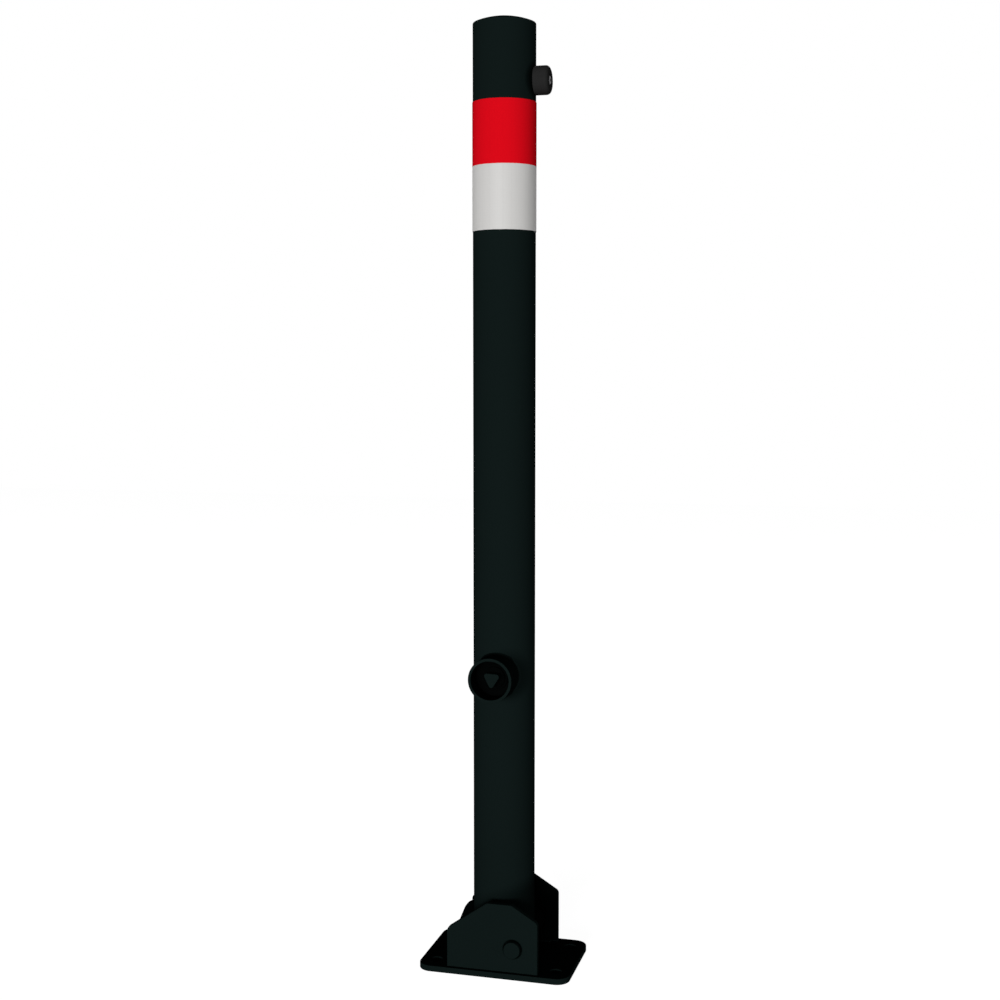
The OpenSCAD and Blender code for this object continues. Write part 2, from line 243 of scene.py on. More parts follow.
class Graph:
    """The node tree of one material or of the world."""

    def __init__(self, tree: bpy.types.NodeTree) -> None:
        """Empties the tree."""
        self.tree = tree
        tree.nodes.clear()

    def add(self, kind: str, settings: dict[str, object], links: dict[int | str, Term]) -> bpy.types.Node:
        """Adds one node.

        Args:
            kind: the node's type.
            settings: its properties; "stops" are a colour ramp's places and greys.
            links: what goes to each of its sockets, a number, a colour or a link.

        Returns:
            The node.
        """
        node = self.tree.nodes.new(kind)
        for name, setting in settings.items():
            if name == "stops":
                for element, (place, grey) in zip(node.color_ramp.elements, setting):
                    element.position, element.color = place, (grey, grey, grey, 1)
            else:
                setattr(node, name, setting)
        for name, term in links.items():
            if isinstance(term, Value):
                term = term.socket
            if isinstance(term, bpy.types.NodeSocket):
                self.tree.links.new(term, node.inputs[name])
            elif isinstance(term, tuple) and len(node.inputs[name].default_value) == 4:
                node.inputs[name].default_value = (*term, 1)
            else:
                node.inputs[name].default_value = term
        return node

    def place(self, stretch: Colour = (1, 1, 1)) -> bpy.types.NodeSocket:
        """The surface's own coordinates, stretched along the three axes."""
        spot = self.add("ShaderNodeTexCoord", {}, {}).outputs["Object"]
        return self.add("ShaderNodeMapping", {}, {"Vector": spot, "Scale": stretch}).outputs[0]

    def axes(self) -> tuple[Value, ...]:
        """The three coordinates of the surface, in metres."""
        spot = self.add("ShaderNodeTexCoord", {}, {}).outputs["Object"]
        split = self.add("ShaderNodeSeparateXYZ", {}, {0: spot})
        return tuple(Value(self, output) for output in split.outputs)

    def noise(self, size_mm: float, detail: float = 2, stretch: Colour = (1, 1, 1)) -> Value:
        """Cloudy noise whose patches are about that many millimetres across."""
        links = {"Vector": self.place(stretch), "Scale": 1 / (size_mm * MM), "Detail": detail}
        return Value(self, self.add("ShaderNodeTexNoise", {}, links).outputs[0])

    def cells(self, size_mm: float, ring: float, scatter: float = 0.15) -> Value:
        """1 along the borders of small cells and 0 inside them.

        Args:
            size_mm: how wide a cell is.
            ring: the share of a cell that its border takes.
            scatter: how far the cells stray from a grid, up to 1.

        Returns:
            The mask of the borders.
        """
        links = {"Vector": self.place(), "Scale": 1 / (size_mm * MM), "Randomness": scatter}
        near = self.add("ShaderNodeTexVoronoi", {"feature": "DISTANCE_TO_EDGE"}, links)
        stops = ((0.0, 1.0), (ring, 0.0))
        return Value(self, self.add("ShaderNodeValToRGB", {"stops": stops}, {0: near.outputs[0]}).outputs[0])

    def tint(self, mask: Value, a: Colour, b: Colour) -> bpy.types.NodeSocket:
        """Colour a where the mask is 0 and b where it is 1."""
        node = self.add("ShaderNodeMix", {"data_type": "RGBA"}, {0: mask, 6: a, 7: b})
        return node.outputs[2]

    def relief(self, height: Value, depth_mm: float) -> bpy.types.NodeSocket:
        """A normal that follows a height of 0 to 1 over that many millimetres."""
        links = {"Height": height, "Strength": 1.0, "Distance": depth_mm * MM}
        return self.add("ShaderNodeBump", {}, links).outputs[0]

    def surface(self, shader: bpy.types.Node, kind: str = "ShaderNodeOutputMaterial") -> None:
        """Ends the tree with a shader."""
        self.add(kind, {}, {"Surface": shader.outputs[0]})


def scaled(colour: Colour, share: float) -> Colour:
    """A colour, lighter or darker."""
    return tuple(part * share for part in colour)


@dataclass(frozen=True)
class Finish:
    """A finish of the object, which goes by its slot in the record."""

    name: str
    slot: str
    colour: Colour
    rough: float
    gloss: float

    def material(self) -> bpy.types.Material:
        """The finish's material, made the first time that it is asked for."""
        made = bpy.data.materials.get(self.name)
        if made is None:
            made = bpy.data.materials.new(self.name)
            made.use_nodes = True
            self.paint(Graph(made.node_tree))
        return made

    def paint(self, graph: Graph) -> None:
        """Draws the finish's nodes; each kind of finish has its own."""
        raise NotImplementedError(self.name)

    def shade(self, graph: Graph, metallic: float = 0.0, **sockets: Term) -> None:
        """Ends the tree with the finish's shader."""
        links = {"Metallic": metallic, "Specular IOR Level": self.gloss}
        links.update({name.replace("_", " "): term for name, term in sockets.items()})
        graph.surface(graph.add("ShaderNodeBsdfPrincipled", {}, links))


@dataclass(frozen=True)
class ShadeBox:
    """Painted shade over what lies in a box of the frame, in millimetres."""

    centre: Colour
    half: Colour
    soft: float
    share: float

    def mask(self, graph: Graph) -> Value:
        """The share within the box and 0 outside."""
        mask = self.share
        for spot, middle, half in zip(graph.axes(), self.centre, self.half):
            mask = abs(spot - middle * MM).rise((half + self.soft) * MM, half * MM) * mask
        return mask


@dataclass(frozen=True)
class ShadeBall:
    """Painted shade round a point of the frame, in millimetres, that fades outwards."""

    centre: Colour
    inner: float
    outer: float
    share: float

    def mask(self, graph: Graph) -> Value:
        """The share up to the inner radius and 0 from the outer one on."""
        x, y, z = (spot - middle * MM for spot, middle in zip(graph.axes(), self.centre))
        near = (x * x + y * y + z * z).rise((self.outer * MM) ** 2, (self.inner * MM) ** 2)
        return near * self.share


@dataclass(frozen=True)
class PowderCoat(Finish):
    """Baked powder paint: an even colour with a fine orange-peel skin, darkened by painted shade where
    shadow and corner shade fall.
    """

    peel_mm: float = 1.3
    peel_depth_mm: float = 0.03
    cloud_mm: float = 90.0
    cloud_spread: float = 0.05
    shade_marks: tuple[ShadeBox | ShadeBall, ...] = ()
    shade_depth: float = 0.9
    peel_rough: float = 0.1

    def paint(self, graph: Graph) -> None:
        """Draws the nodes."""
        cloud = graph.noise(self.cloud_mm, 3)
        peel = graph.noise(self.peel_mm, 2)
        spread = self.cloud_spread
        tone = graph.tint(cloud, scaled(self.colour, 1 - spread), scaled(self.colour, 1 + spread))
        # Painted shade: each mask darkens the colour towards near-black, standing in for shadow and corner
        # shade.
        for patch in self.shade_marks:
            tone = graph.tint(patch.mask(graph), tone, scaled(self.colour, 1 - self.shade_depth))
        self.shade(
            graph,
            Base_Color=tone,
            Roughness=self.rough + self.peel_rough * (peel - 0.5),
            Normal=graph.relief(peel, self.peel_depth_mm),
        )


@dataclass(frozen=True)
class ReflectiveFilm(Finish):
    """Self-adhesive film with the faint cell borders of reflective sheeting."""

    cell_mm: float = 2.6
    border: float = 0.09
    border_shade: float = 0.97
    emboss_mm: float = 0.01
    border_rough: float = 0.12
    wave_mm: float = 14.0
    wave_rough: float = 0.04

    def paint(self, graph: Graph) -> None:
        """Draws the nodes."""
        border = graph.cells(self.cell_mm, self.border)
        wave = graph.noise(self.wave_mm, 2)
        self.shade(
            graph,
            Base_Color=graph.tint(border, self.colour, scaled(self.colour, self.border_shade)),
            Roughness=self.rough + self.border_rough * border + self.wave_rough * wave,
            Normal=graph.relief(1 - border, self.emboss_mm),
        )


@dataclass(frozen=True)
class MouldedRubber(Finish):
    """Matt rubber, with a fine moulded grain and a little bloom."""

    grain_mm: float = 0.7
    grain_depth_mm: float = 0.03
    bloom_mm: float = 6.0
    bloom_spread: float = 0.08
    bloom_rough: float = 0.15

    def paint(self, graph: Graph) -> None:
        """Draws the nodes."""
        grain = graph.noise(self.grain_mm, 3)
        bloom = graph.noise(self.bloom_mm, 3)
        spread = self.bloom_spread
        tone = graph.tint(bloom, scaled(self.colour, 1 - spread), scaled(self.colour, 1 + spread))
        self.shade(
            graph,
            Base_Color=tone,
            Roughness=self.rough + self.bloom_rough * (bloom - 0.5),
            Normal=graph.relief(grain, self.grain_depth_mm),
        )


@dataclass(frozen=True)
class Metal(Finish):
    """Plain metal: turned, rolled, plated or blackened."""

    lay: Colour = (1, 1, 1)
    lay_mm: float = 0.8
    lay_depth_mm: float = 0.006
    patch_mm: float = 5.0
    patch_spread: float = 0.1
    metallic: float = 1.0
    patch_rough: float = 0.16
    lay_rough: float = 0.1

    def paint(self, graph: Graph) -> None:
        """Draws the nodes."""
        lay = graph.noise(self.lay_mm, 3, self.lay)
        patch = graph.noise(self.patch_mm, 3)
        spread = self.patch_spread
        tone = graph.tint(patch, scaled(self.colour, 1 - spread), scaled(self.colour, 1 + spread))
        self.shade(
            graph,
            self.metallic,
            Base_Color=tone,
            Roughness=self.rough + self.patch_rough * (patch - 0.5) + self.lay_rough * (lay - 0.5),
            Normal=graph.relief(lay, self.lay_depth_mm),
        )


# Painted shade: these darken the plate's top, the faces between the cheeks, a ring round the pin, the post's
# foot, the tube round the buffer's and the cup's roots, and the cup's side, where shadow and corner shade
# fall.
PLATE_TOP_SHADE = ShadeBox((0, 0, PLATE_T), (90, 60, 0.05), 0.4, 0.75)
CHEEKS_INSIDE_SHADE = ShadeBox((0, 0, 57), (90, 41.1, 50), 0.5, 0.92)
PIN_RING_SHADE = ShadeBall((PIN_X, -CHEEK_OUT, PIN_Z), 9.2, 10.6, 0.6)
POST_FOOT_SHADE = ShadeBall((PIN_X, 0, PIN_Z), 46, 66, 0.6)
BUFFER_ROOT_SHADE = ShadeBall((POST_R, 0, BUFFER_Z), 14, 20, 0.6)
CUP_ROOT_SHADE = ShadeBall((12, -POST_R, LOCK_Z), 14, 30, 0.35)
CUP_SIDE_SHADE = ShadeBox((0, -40, LOCK_Z), (30, 13.4, 30), 0.5, 0.75)

BLACK = (0.0053, 0.0097, 0.0092)
MATT = 0.0
PAINT_ROUGH = 0.7


def powder_coat(name: str, *shade_marks: ShadeBox | ShadeBall, colour: Colour = BLACK) -> PowderCoat:
    """The post's powder paint, with painted shade where shade falls on that piece."""
    return PowderCoat(name, "black_paint", colour, PAINT_ROUGH, MATT, shade_marks=shade_marks)


BLACK_PAINT = powder_coat("black_powder_coat")
# The plate, cheek, post and cup coats carry that painted shade; the plain coat above has none.
PLATE_PAINT = powder_coat("plate_coat_painted_shade", PLATE_TOP_SHADE)
CHEEK_PAINT = powder_coat("cheek_coat_painted_shade", CHEEKS_INSIDE_SHADE, PIN_RING_SHADE)
POST_PAINT = powder_coat("post_coat_painted_shade", POST_FOOT_SHADE, BUFFER_ROOT_SHADE, CUP_ROOT_SHADE)
CUP_PAINT = powder_coat("cup_coat_painted_shade", CUP_SIDE_SHADE)
# A near-black paint for the cup's inside: painted shade for its dark hollow.
CUP_INSIDE_SHADE_PAINT = powder_coat("cup_inside_painted_shade_coat", colour=(0.0012, 0.0016, 0.0016))
RED_FILM = ReflectiveFilm("red_reflective_film", "red_film", (0.675, 0.0031, 0.0095), 0.5, MATT)
WHITE_FILM = ReflectiveFilm("white_reflective_film", "white_film", (0.580, 0.573, 0.561), 0.5, 0.3)
RUBBER = MouldedRubber("moulded_rubber", "black_rubber", (0.0200, 0.0200, 0.0200), 0.8, MATT)
ZINC = Metal("zinc_plate", "zinc_steel", (0.62, 0.63, 0.65), 0.35, 0.5)
BARE_STEEL = Metal("turned_steel", "bare_steel", (0.42, 0.43, 0.44), 0.4, 0.5, lay=(1, 1, 6))
# A near-black steel, far darker than the paint: painted shade on the washers, cross sleeve, bush and spindle
# shaft, which lie in shade.
SHADE_BLACK_STEEL = Metal("painted_shade_black_steel", "blackened_steel", (0.0010, 0.0014, 0.0014), 0.55, MATT, metallic=0.0)
# The triangular stud keeps the paint's plain black, lighter than the painted-shade steel on the shaft beside
# it.
STUD_FACE = Metal("stud_plain_black_steel", "blackened_steel", BLACK, 0.55, MATT, metallic=0.0, patch_spread=0.08)
SCREW_STEEL = Metal("black_oxide_steel", "blackened_steel", (0.045, 0.045, 0.048), 0.35, 0.5)


# Meshes


class Form:
    """A closed mesh in the making, in millimetres."""

    def __init__(self) -> None:
        """Starts an empty mesh."""
        self.mesh = bmesh.new()

    def ring(self, places: Sequence[Vector]) -> list[bmesh.types.BMVert]:
        """Adds the points of one ring."""
        return [self.mesh.verts.new(place) for place in places]

    def bridge(self, a: list[bmesh.types.BMVert], b: list[bmesh.types.BMVert]) -> None:
        """Joins two rings with faces; a ring of one point is a pole."""
        count = max(len(a), len(b))
        for i in range(count if min(len(a), len(b)) else 0):
            k = (i + 1) % count
            face = [a[i % len(a)], a[k % len(a)], b[k % len(b)], b[i % len(b)]]
            face = list(dict.fromkeys(face))
            if len(face) > 2:
                self.mesh.faces.new(face)

    def sweep(self, rings: Sequence[Sequence[Vector]], closed: bool = False) -> Form:
        """Joins rings in a row.

        Args:
            rings: the places of each ring, as many in each, or one at a pole.
            closed: the last ring joins the first, instead of both being capped.

        Returns:
            The form itself.
        """
        made = [self.ring(places) for places in rings]
        for a, b in zip(made, made[1:]):
            self.bridge(a, b)
        if closed:
            self.bridge(made[-1], made[0])
        else:
            for end in (made[0], made[-1]):
                if len(end) > 2:
                    self.mesh.faces.new(end)
        return self

    def lathe(
        self,
        along: Along,
        centre: Point,
        profile: Sequence[tuple[float, Depth]],
        steps: int,
        closed: bool = False,
    ) -> Form:
        """Turns a profile about an axis.

        Args:
            along: the way of the axis.
            centre: the axis' sideways place.
            profile: radius and distance along, from point to point. A distance
                may be a function of the sideways place, so that an end fits a
                round surface.
            steps: faces round the axis.
            closed: the profile is a loop, as for a tube or ring.

        Returns:
            The form itself.
        """
        rings: list[list[Vector]] = []
        for radius, depth in profile:
            spots = circle(*centre, radius, steps) if radius > TINY else [centre]
            rings.append([along.at(u, v, depth(u, v) if callable(depth) else depth) for u, v in spots])
        return self.sweep(rings, closed)

    def slab(
        self,
        along: Along,
        outline: Sequence[Point],
        low: float,
        high: float,
        edge: float,
        holes: Sequence[Sequence[Point]] = (),
    ) -> Form:
        """A plate with holes, whose edges are rounded.

        Args:
            along: the way of its thickness.
            outline: its outline, seen along that way.
            low: where it starts.
            high: where it ends.
            edge: radius of its edges.
            holes: outlines of its holes.

        Returns:
            The form itself.
        """
        rise = [math.pi / 2 * i / EDGE_STEPS for i in range(EDGE_STEPS + 1)]
        levels = [(edge * (1 - math.sin(a)), low + edge * (1 - math.cos(a))) for a in rise]
        levels += [(inset, high - (t - low)) for inset, t in reversed(levels)]
        caps: tuple[list, list] = ([], [])
        for loop in (wound(outline, True), *(wound(hole, False) for hole in holes)):
            rings = []
            for inset, t in levels:
                rings.append(self.ring([along.at(u, v, t) for u, v in shifted(loop, inset)]))
            for a, b in zip(rings, rings[1:]):
                self.bridge(a, b)
            for cap, end in zip(caps, (rings[0], rings[-1])):
                cap += [self.mesh.edges.get((a, b)) for a, b in zip(end, end[1:] + end[:1])]
        for cap in caps:
            bmesh.ops.triangle_fill(self.mesh, use_beauty=True, edges=cap)
        return self

    def piece(self, name: str, finish: Finish, body: Body, *replaced: str) -> bpy.types.Object:
        """Makes the form an object of the scene.

        Args:
            name: the piece's name.
            finish: its finish.
            body: the body that it rides on.
            replaced: the CAD nodes that it stands for.

        Returns:
            The object.
        """
        bmesh.ops.recalc_face_normals(self.mesh, faces=self.mesh.faces)
        bmesh.ops.scale(self.mesh, vec=(MM, MM, MM), verts=self.mesh.verts)
        data = bpy.data.meshes.new(name)
        self.mesh.to_mesh(data)
        self.mesh.free()
        data.polygons.foreach_set("use_smooth", [True] * len(data.polygons))
        data.set_sharp_from_angle(angle=SHARP_ANGLE)
        data.materials.append(finish.material())
        piece = bpy.data.objects.new(name, data)
        bpy.context.scene.collection.objects.link(piece)
        piece.modifiers.new("even_normals", "WEIGHTED_NORMAL").keep_sharp = True
        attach(piece, body.value)
        if replaced:
            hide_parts(*replaced)
        log.info("%s on %s, %d faces", name, body.value, len(data.polygons))
        return piece


def bead(
    path: Sequence[Vector], wall: Sequence[Vector], floor: Sequence[Vector], leg: float
) -> list[list[Vector]]:
    """The rings of a weld bead in an inner corner, rippled along its way.

    Args:
        path: points along the corner, evenly spaced.
        wall: at each point, the way up the first surface.
        floor: at each point, the way out on the second one.
        leg: how far the bead reaches on each surface.

    Returns:
        One ring for each point of the path.
    """
    ripple_mm, ripple, bulge, sides, sink = 2.4, 0.07, 0.4, 6, 0.15
    gone = 0.0
    rings: list[list[Vector]] = []
    for i, here in enumerate(path):
        gone += (here - path[i - 1]).length if i else 0.0
        reach = leg * (1 + ripple * math.sin(math.tau * gone / ripple_mm))
        ring = [here - (wall[i] + floor[i]) * sink * leg]
        for k in range(sides + 1):
            angle = math.pi / 2 * k / sides
            c, s = math.cos(angle), math.sin(angle)
            out = bulge + (1 - bulge) / (c + s)
            ring.append(here + (wall[i] * c + floor[i] * s) * reach * out)
        rings.append(ring)
    return rings


def straight(start: Vector, end: Vector, step: float) -> list[Vector]:
    """Evenly spaced points from start to end."""
    count = max(2, round((end - start).length / step))
    return [start.lerp(end, i / count) for i in range(count + 1)]


def dress(finish: Finish, *nodes: str) -> None:
    """Gives CAD nodes that stay as they are a finish."""
    for name in nodes:
        data = bpy.data.objects[name].data
        data.materials.clear()
        data.materials.append(finish.material())
        log.info("%s keeps its shape, in %s", name, finish.name)


# Sub-assemblies


@dataclass(frozen=True)
class Foot:
    """The base plate, its two cheeks, the stop rib and their welds."""

    length: float = 150.0
    width: float = 101.0
    thick: float = PLATE_T
    corner: float = 13.0
    anchors: Point = (60.0, 32.5)
    anchor_r: float = 6.0
    rod_hole: Corner = (-12.0, 0.0, 7.5)
    edge: float = 0.6
    cheek: tuple[Corner, ...] = (
        (-45, 6, 0), (-45, 44.2, 6), (-5, 72.2, 5), (19.3, 72.2, 5), (45, 56.5, 5), (45, 6, 0),
    )  # fmt: skip
    rear_rise: float = 1.1
    cheek_in: float = CHEEK_IN
    cheek_out: float = CHEEK_OUT
    pin: Point = (PIN_X, PIN_Z)
    pin_r: float = PIN_R
    pin_gap: float = 1.2
    pin_land: float = 2.0
    stop_half: float = 4.0
    stop_back: tuple[Corner, ...] = ((-57.7, 6, 0), (-37.4, 55.5, 9), (-30.2, 55.5, 0))
    stop_face: float = -30.2
    sweep_r: float = 54.57
    sweep_steps: int = 16
    weld: float = 3.0
    weld_step: float = 0.6
    cheek_run: float = 38.0
    rib_run: tuple[float, float] = (-55.0, -34.5)

    def build(self) -> None:
        """Builds the foot's pieces."""
        self.plate()
        for name, low, rise in (
            ("front_cheek", self.cheek_in, 0.0),
            ("rear_cheek", -self.cheek_out, self.rear_rise),
        ):
            high = low + self.cheek_out - self.cheek_in
            outline = rounded([(x, z + rise if z > self.thick else z, r) for x, z, r in self.cheek])
            hole = circle(*self.pin, self.pin_r + self.pin_gap)
            form = Form().slab(Along.KEY_SIDE, outline, low, high, self.edge, [hole])
            start = low if low > 0 else high - self.pin_land
            outer = self.pin_r + self.pin_gap + self.edge
            end = start + self.pin_land
            land = [(self.pin_r, start), (outer, start), (outer, end), (self.pin_r, end)]
            form.lathe(Along.KEY_SIDE, self.pin, land, HOLE_STEPS, closed=True)
            form.piece(f"{name}_plate", CHEEK_PAINT, Body.BASE, name)
        self.rib()
        self.welds()

    def plate(self) -> None:
        """The base plate with its holes."""
        x, y, r = self.length / 2, self.width / 2, self.corner
        corners = [(-x, -y, r), (x, -y, r), (x, y, r), (-x, y, r)]
        holes = [circle(*self.rod_hole)]
        for side in (-1, 1):
            for end in (-1, 1):
                holes.append(circle(end * self.anchors[0], side * self.anchors[1], self.anchor_r))
        form = Form().slab(Along.UP, rounded(corners), 0.0, self.thick, self.edge, holes)
        form.piece("ground_plate", PLATE_PAINT, Body.BASE, "base_plate")

    def rib(self) -> None:
        """The stop rib, hollowed where the tube's lower corner sweeps past it."""
        reach = self.stop_face - self.pin[0]
        half = math.degrees(math.acos(-reach / self.sweep_r))
        hollow = arc(*self.pin, self.sweep_r, 180 - half, 180 + half, self.sweep_steps)
        outline = [*rounded(self.stop_back), *hollow, (self.stop_face, self.thick)]
        form = Form().slab(Along.KEY_SIDE, outline, -self.stop_half, self.stop_half, self.edge)
        form.piece("stop_rib_plate", CHEEK_PAINT, Body.BASE, "stop_rib")

    def welds(self) -> None:
        """Beads inside the cheeks' feet and along both sides of the rib's."""
        form = Form()
        up = Vector((0, 0, 1))
        runs = [(side * self.cheek_in, -side, -self.cheek_run, self.cheek_run) for side in (-1, 1)]
        runs += [(side * self.stop_half, side, *self.rib_run) for side in (-1, 1)]
        for y, away, x0, x1 in runs:
            path = straight(Vector((x0, y, self.thick)), Vector((x1, y, self.thick)), self.weld_step)
            out = Vector((0, away, 0))
            form.sweep(bead(path, [up] * len(path), [out] * len(path), self.weld))
        form.piece("foot_welds", CHEEK_PAINT, Body.BASE)


@dataclass(frozen=True)
class Hinge:
    """The pin in the cheeks, its washers and the post's cross sleeve."""

    centre: Point = (PIN_X, PIN_Z)
    pin_r: float = PIN_R
    pin_front: float = 51.0
    pin_back: float = -CHEEK_OUT
    head_r: float = 11.0
    head: float = 3.0
    chamfer: float = 0.6
    washer_r: float = 14.0
    washer: tuple[float, float] = (39.0, 40.9)
    run: float = 0.08
    sleeve_r: float = 11.0
    sleeve_end: float = 38.8
    edge: float = 0.3

    def build(self) -> None:
        """Builds the hinge's pieces."""
        back, front, cut = self.pin_back - self.head, self.pin_front, self.chamfer
        profile = rounded([
            (0, back, 0), (self.head_r, back, cut), (self.head_r, self.pin_back, 0.2),
            (self.pin_r, self.pin_back, 0), (self.pin_r, front, cut), (0, front, 0),
        ], EDGE_STEPS)  # fmt: skip
        form = Form().lathe(Along.KEY_SIDE, self.centre, profile, TURN_STEPS)
        form.piece("hinge_pin_turned", BLACK_PAINT, Body.BASE, "hinge_pin")
        # The washers and the sleeve take the near-black steel: painted shade where they lie between the
        # cheeks.
        form = Form()
        for low, high in (self.washer, (-self.washer[1], -self.washer[0])):
            washer = self.ring(self.washer_r, low, high)
            form.lathe(Along.KEY_SIDE, self.centre, washer, TURN_STEPS, closed=True)
        form.piece("thrust_washers", SHADE_BLACK_STEEL, Body.BASE, "hinge_washers")
        ring = self.ring(self.sleeve_r, -self.sleeve_end, self.sleeve_end)
        form = Form().lathe(Along.KEY_SIDE, self.centre, ring, TURN_STEPS, closed=True)
        form.piece("cross_sleeve", SHADE_BLACK_STEEL, Body.POST, "hinge_sleeve")

    def ring(self, outer: float, low: float, high: float) -> list[Point]:
        """The profile of a ring that runs on the pin."""
        bore, r = self.pin_r + self.run, self.edge
        return rounded([(bore, low, r), (outer, low, r), (outer, high, r), (bore, high, r)], EDGE_STEPS)


@dataclass(frozen=True)
class Post:
    """The round tube and the domed disc that closes it."""

    radius: float = POST_R
    bore: float = 27.5
    foot: float = 10.5
    top: float = 904.2
    rim: float = 907.2
    rim_edge: float = 1.0
    dome: float = 6.0
    dome_steps: int = 16
    foot_edge: float = 0.4
    steps: int = 160

    def build(self) -> None:
        """Builds the tube and the cap."""
        edge = self.foot_edge
        wall = rounded([
            (self.bore, self.top, 0), (self.bore, self.foot, edge), (self.radius, self.foot, edge),
            (self.radius, self.top, 0),
        ], EDGE_STEPS)  # fmt: skip
        form = Form().lathe(Along.UP, (0, 0), wall, self.steps, closed=True)
        form.piece("tube", POST_PAINT, Body.POST, "post_tube")
        disc = rounded([
            (0, self.top, 0), (self.radius, self.top, 0), (self.radius, self.rim, self.rim_edge),
            *self.crown(),
        ], 5)  # fmt: skip
        form = Form().lathe(Along.UP, (0, 0), disc, self.steps)
        form.piece("cap", BLACK_PAINT, Body.POST, "top_cap")

    def crown(self) -> list[Corner]:
        """The dome's profile, from its rim to its top."""
        sphere = (self.radius**2 + self.dome**2) / (2 * self.dome)
        spread = math.asin(self.radius / sphere)
        angles = [spread * (1 - i / self.dome_steps) for i in range(1, self.dome_steps + 1)]
        top = self.rim + self.dome
        return [(sphere * math.sin(a), top - sphere * (1 - math.cos(a)), 0) for a in angles]


@dataclass(frozen=True)
class Lock:
    """The cup on the front of the post, its bush and the key spindle."""

    height: float = LOCK_Z
    post_r: float = POST_R
    sunk: float = 1.0
    cup_r: float = 21.3
    cup_bore: float = 18.6
    rim: float = 54.5
    rim_edge: float = 0.45
    side_from: float = 40.0
    floor: float = 34.0
    floor_corner: float = 0.8
    floor_hole: float = 32.0
    foot_rings: int = 5
    bush_r: float = 10.0
    flange_r: float = 13.0
    flange: float = 36.5
    flange_edge: float = 0.4
    bush_in: float = 18.4
    journal: float = 6.0
    run: float = 0.08
    shoulder_r: float = 10.5
    shoulder: tuple[float, float] = (36.6, 38.5)
    stud: float = 48.0
    stud_r: float = 10.6
    stud_corner: float = 2.5
    stud_turn: float = -93.0
    stud_edge: float = 0.45
    stud_sunk: float = 0.2
    groove: tuple[float, float] = (17.3, 18.3)
    groove_r: float = 5.0
    shaft_in: float = 16.3
    square: float = 6.0
    square_in: float = 11.3
    square_sunk: float = 0.05
    screw_r: float = 1.5
    weld: float = 1.3
    weld_steps: int = 220

    def build(self) -> None:
        """Builds the cup, its weld, the bush and the spindle."""
        self.cup()
        self.cup_weld()
        self.bush()
        self.spindle()

    def cup(self) -> None:
        """The cup, whose foot is cut to the tube's round side."""
        foot = saddle(self.post_r - self.sunk)
        edge = self.rim_edge
        rim = rounded([
            (self.cup_r, self.side_from, 0), (self.cup_r, self.rim, edge), (self.cup_bore, self.rim, edge),
            (self.cup_bore, self.floor, self.floor_corner), (self.bush_r, self.floor, 0.3),
            (self.bush_r, self.floor_hole, 0),
        ], EDGE_STEPS)  # fmt: skip
        spread = self.cup_r - self.bush_r
        inward = [(self.bush_r + spread * i / self.foot_rings, foot) for i in range(self.foot_rings + 1)]
        form = Form().lathe(Along.KEY_SIDE, (0, self.height), [*rim, *inward], FINE_STEPS, closed=True)
        # The faces inside the bore take the near-black paint: painted shade in the cup's hollow.
        for face in form.mesh.faces:
            spot = face.calc_center_median()
            across = math.hypot(spot.x, spot.z - self.height)
            if across < self.cup_bore and -spot.y < self.rim - edge:
                face.material_index = 1
        cup = form.piece("cup", CUP_PAINT, Body.POST, "lock_cup")
        cup.data.materials.append(CUP_INSIDE_SHADE_PAINT.material())

    def cup_weld(self) -> None:
        """The small fillet where the cup meets the tube."""
        path, wall, floor = [], [], []
        face = saddle(self.post_r)
        for i in range(self.weld_steps + 1):
            angle = math.tau * i / self.weld_steps
            u, v = self.cup_r * math.cos(angle), self.cup_r * math.sin(angle)
            path.append(Vector((u, -face(u, v), self.height + v)))
            wall.append(Vector((0, -1, 0)))
            normal = Vector((u, -face(u, v), 0)).normalized()
            out = Vector((math.cos(angle), 0, math.sin(angle)))
            floor.append((out - normal * out.dot(normal)).normalized())
        form = Form().sweep(bead(path, wall, floor, self.weld)[:-1], closed=True)
        form.piece("cup_fillet", CUP_PAINT, Body.POST)

    def bush(self) -> None:
        """The flanged bush in the cup's floor."""
        edge, bore = self.flange_edge, self.journal + self.run
        profile = rounded([
            (bore, self.bush_in, edge), (self.bush_r, self.bush_in, edge), (self.bush_r, self.floor, 0),
            (self.flange_r, self.floor, 0), (self.flange_r, self.flange, edge), (bore, self.flange, edge),
        ], EDGE_STEPS)  # fmt: skip
        form = Form().lathe(Along.KEY_SIDE, (0, self.height), profile, TURN_STEPS, closed=True)
        # The bush takes the near-black steel: painted shade on the cup's floor.
        form.piece("flanged_bush", SHADE_BLACK_STEEL, Body.POST, "spindle_bush")

    def spindle(self) -> None:
        """The stud that the key turns, and its shaft."""
        low, high = self.shoulder
        shaft = rounded([
            (0, self.shaft_in, 0), (self.journal, self.shaft_in, 0.2),
            (self.journal, self.groove[0], 0.1), (self.groove_r, self.groove[0], 0),
            (self.groove_r, self.groove[1], 0), (self.journal, self.groove[1], 0.1),
            (self.journal, low, 0), (self.shoulder_r, low, 0.2), (self.shoulder_r, high, 0.4), (0, high, 0),
        ], EDGE_STEPS)  # fmt: skip
        form = Form().lathe(Along.KEY_SIDE, (0, self.height), shaft, TURN_STEPS)
        turned = len(form.mesh.faces)
        corners = []
        for i in range(3):
            angle = math.radians(120 * i + self.stud_turn)
            u, v = self.stud_r * math.cos(angle), self.stud_r * math.sin(angle)
            corners.append((u, self.height + v, self.stud_corner))
        base = high - self.stud_sunk
        form.slab(Along.KEY_SIDE, rounded(corners, 6), base, self.stud, self.stud_edge)
